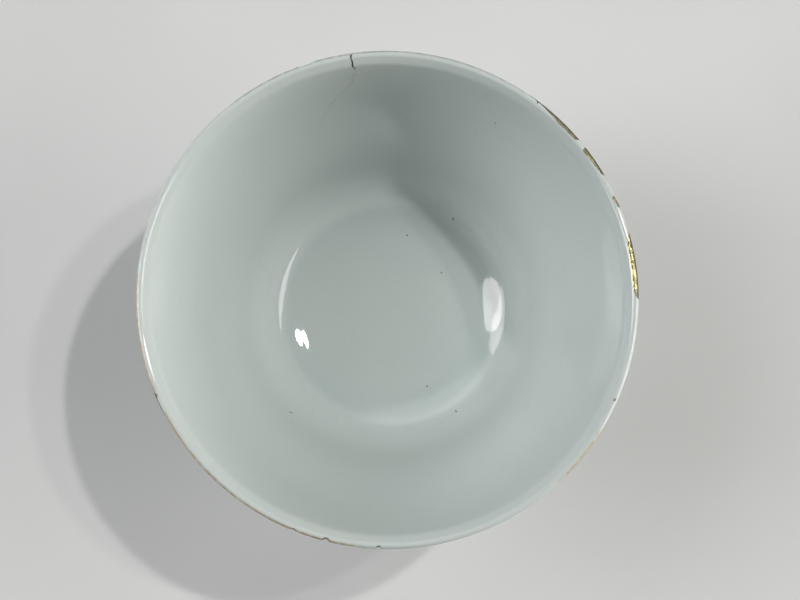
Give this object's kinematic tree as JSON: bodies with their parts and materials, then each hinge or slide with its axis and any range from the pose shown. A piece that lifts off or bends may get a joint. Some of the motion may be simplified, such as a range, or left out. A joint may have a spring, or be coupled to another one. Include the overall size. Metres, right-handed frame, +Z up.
{
  "type": "kintsugi cup",
  "caption": "Small footed porcelain cup with a flared lip, a hairline crack and a chipped rim mended with gold lacquer.",
  "frame": {"origin": "centre of the foot ring's underside", "axes": "+Z up along the cup's axis, +Y towards the crack in the lip, +X towards the longest bright gold fill"},
  "size_m": [0.082, 0.082, 0.046],
  "materials": {
    "porcelain": "glossy pale green-white glaze",
    "gold_lacquer": "worn burnished gold powder on lacquer"
  },
  "bodies": {
    "root": {"cup": "porcelain", "gold_fill_side_long": "gold_lacquer", "gold_fill_side_short": "gold_lacquer", "gold_fill_back_short": "gold_lacquer", "gold_fill_back_long": "gold_lacquer", "gold_fill_front_left": "gold_lacquer"}
  },
  "joints": []
}
